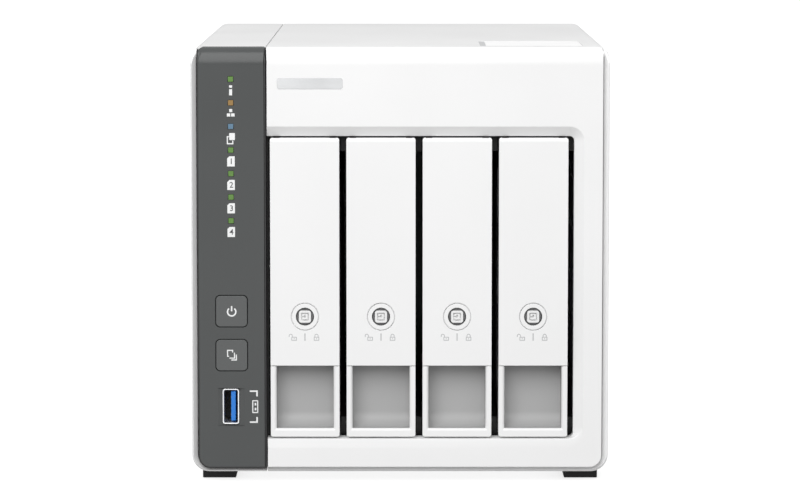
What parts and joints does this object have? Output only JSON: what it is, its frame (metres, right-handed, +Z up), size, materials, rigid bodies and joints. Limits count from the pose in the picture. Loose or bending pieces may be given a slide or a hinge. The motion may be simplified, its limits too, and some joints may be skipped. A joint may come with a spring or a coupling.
{
  "type": "network attached storage",
  "caption": "Desktop network storage enclosure with upright drive trays behind hinged levers, an indicator strip with buttons, and a rear fan.",
  "frame": {"origin": "on the surface the feet stand on, under the middle of the body", "axes": "+Z up, the front with the trays faces -Y, +X to the right as seen from the front"},
  "size_m": [0.16, 0.219, 0.169],
  "materials": {
    "white_plastic": "fine satin moulding",
    "grey_plastic": "dark grey satin moulding",
    "black_plastic": "black moulding",
    "zinc_steel": "zinc-plated sheet",
    "circuit_board": "green solder mask",
    "clear_plastic": "clear light guide",
    "blue_plastic": "blue USB contact tongue",
    "lock_plastic": "pale moulded plug",
    "cast_aluminium": "as cast",
    "anodised_aluminium": "anodised extrusion",
    "label": "glossy adhesive label",
    "rubber": "moulded pads"
  },
  "bodies": {
    "enclosure": {"backplane_board": "circuit_board", "cage_left_wall": "zinc_steel", "cage_right_wall": "zinc_steel", "cage_roof": "zinc_steel", "chassis_base": "zinc_steel", "dc_jack": "black_plastic", "fan_frame": "black_plastic", "front_bezel": "white_plastic", "front_left_foot": "rubber", "front_right_foot": "rubber", "front_usb_shell": "zinc_steel", "front_usb_tongue": "blue_plastic", "heat_sink": "anodised_aluminium", "indicator_panel": "grey_plastic", "lan_socket_1": "zinc_steel", "lan_socket_2": "zinc_steel", "left_shell": "white_plastic", "light_guide": "clear_plastic", "lower_guide": "black_plastic", "main_board": "circuit_board", "main_cover": "white_plastic", "rear_left_foot": "rubber", "rear_panel": "zinc_steel", "rear_right_foot": "rubber", "rear_usb_socket_1": "zinc_steel", "rear_usb_socket_2": "zinc_steel", "sata_socket_1": "black_plastic", "sata_socket_2": "black_plastic", "sata_socket_3": "black_plastic", "sata_socket_4": "black_plastic", "setup_label": "label", "upper_guide": "black_plastic"},
    "copy_button": {"copy_button": "grey_plastic"},
    "power_button": {"power_button": "grey_plastic"},
    "reset_plunger": {"reset_plunger": "black_plastic"},
    "fan_rotor": {"fan_rotor": "black_plastic"},
    "tray_1": {"tray_1_carrier": "black_plastic", "tray_1_fascia": "white_plastic", "drive_1_case": "cast_aluminium", "drive_1_lid": "zinc_steel"},
    "tray_1_flap": {"tray_1_flap": "white_plastic"},
    "tray_1_lock": {"tray_1_lock": "lock_plastic"},
    "tray_2": {"tray_2_carrier": "black_plastic", "tray_2_fascia": "white_plastic", "drive_2_case": "cast_aluminium", "drive_2_lid": "zinc_steel"},
    "tray_2_flap": {"tray_2_flap": "white_plastic"},
    "tray_2_lock": {"tray_2_lock": "lock_plastic"},
    "tray_3": {"tray_3_carrier": "black_plastic", "tray_3_fascia": "white_plastic", "drive_3_case": "cast_aluminium", "drive_3_lid": "zinc_steel"},
    "tray_3_flap": {"tray_3_flap": "white_plastic"},
    "tray_3_lock": {"tray_3_lock": "lock_plastic"},
    "tray_4": {"tray_4_carrier": "black_plastic", "tray_4_fascia": "white_plastic", "drive_4_case": "cast_aluminium", "drive_4_lid": "zinc_steel"},
    "tray_4_flap": {"tray_4_flap": "white_plastic"},
    "tray_4_lock": {"tray_4_lock": "lock_plastic"}
  },
  "joints": [
    {"name": "tray_1_slide", "type": "slide", "parent": "enclosure", "child": "tray_1", "axis": [0, -1, 0], "range_m": [0, 0.16]},
    {"name": "tray_2_slide", "type": "slide", "parent": "enclosure", "child": "tray_2", "axis": [0, -1, 0], "range_m": [0, 0.16]},
    {"name": "tray_3_slide", "type": "slide", "parent": "enclosure", "child": "tray_3", "axis": [0, -1, 0], "range_m": [0, 0.16]},
    {"name": "tray_4_slide", "type": "slide", "parent": "enclosure", "child": "tray_4", "axis": [0, -1, 0], "range_m": [0, 0.16]},
    {"name": "tray_1_flap_hinge", "type": "hinge", "parent": "tray_1", "child": "tray_1_flap", "pos_m": [-0.0367, -0.1064, 0.1317], "axis": [-1, 0, 0], "range_deg": [0, 70]},
    {"name": "tray_2_flap_hinge", "type": "hinge", "parent": "tray_2", "child": "tray_2_flap", "pos_m": [-0.00733, -0.1064, 0.1317], "axis": [-1, 0, 0], "range_deg": [0, 70]},
    {"name": "tray_3_flap_hinge", "type": "hinge", "parent": "tray_3", "child": "tray_3_flap", "pos_m": [0.02204, -0.1064, 0.1317], "axis": [-1, 0, 0], "range_deg": [0, 70]},
    {"name": "tray_4_flap_hinge", "type": "hinge", "parent": "tray_4", "child": "tray_4_flap", "pos_m": [0.05141, -0.1064, 0.1317], "axis": [-1, 0, 0], "range_deg": [0, 70]},
    {"name": "tray_1_lock_turn", "type": "hinge", "parent": "tray_1_flap", "child": "tray_1_lock", "pos_m": [-0.0367, -0.109, 0.065], "axis": [0, 1, 0], "range_deg": [0, 90]},
    {"name": "tray_2_lock_turn", "type": "hinge", "parent": "tray_2_flap", "child": "tray_2_lock", "pos_m": [-0.00733, -0.109, 0.065], "axis": [0, 1, 0], "range_deg": [0, 90]},
    {"name": "tray_3_lock_turn", "type": "hinge", "parent": "tray_3_flap", "child": "tray_3_lock", "pos_m": [0.02204, -0.109, 0.065], "axis": [0, 1, 0], "range_deg": [0, 90]},
    {"name": "tray_4_lock_turn", "type": "hinge", "parent": "tray_4_flap", "child": "tray_4_lock", "pos_m": [0.05141, -0.109, 0.065], "axis": [0, 1, 0], "range_deg": [0, 90]},
    {"name": "power_button_press", "type": "slide", "parent": "enclosure", "child": "power_button", "axis": [0, 1, 0], "range_m": [0, 0.0006], "stiffness_N_per_m": 500, "springref_m": -0.0006},
    {"name": "copy_button_press", "type": "slide", "parent": "enclosure", "child": "copy_button", "axis": [0, 1, 0], "range_m": [0, 0.0006], "stiffness_N_per_m": 500, "springref_m": -0.0006},
    {"name": "reset_press", "type": "slide", "parent": "enclosure", "child": "reset_plunger", "axis": [0, -1, 0], "range_m": [0, 0.0003], "stiffness_N_per_m": 600, "springref_m": -0.0003},
    {"name": "fan_spin", "type": "hinge", "parent": "enclosure", "child": "fan_rotor", "pos_m": [0.009, 0.09315, 0.088], "axis": [0, 1, 0], "continuous": true}
  ]
}
